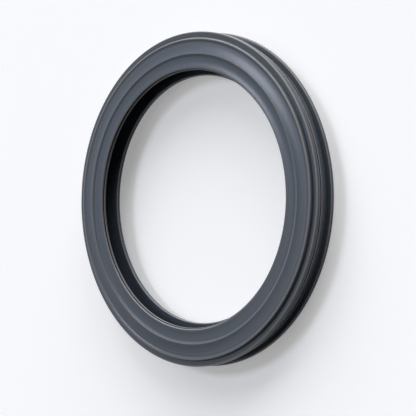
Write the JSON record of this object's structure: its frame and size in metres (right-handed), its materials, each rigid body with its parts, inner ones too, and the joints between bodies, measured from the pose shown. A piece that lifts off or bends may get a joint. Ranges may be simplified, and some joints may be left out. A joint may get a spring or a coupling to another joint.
{
  "type": "pressure cooker gasket",
  "caption": "Moulded silicone sealing ring for a pressure cooker lid, with a banded sealing face, a grooved rim and two inner lips round a steam channel.",
  "frame": {"origin": "on the ring's axis, in the plane of the flat foot on its back face", "axes": "+Z along the ring's axis, from the back face towards the sealing face"},
  "size_m": [0.24, 0.24, 0.0209],
  "materials": {
    "silicone": "matt moulded silicone rubber, blue-grey all through, slightly paler along the edges"
  },
  "bodies": {
    "root": {"sealing_ring": "silicone"}
  },
  "joints": []
}
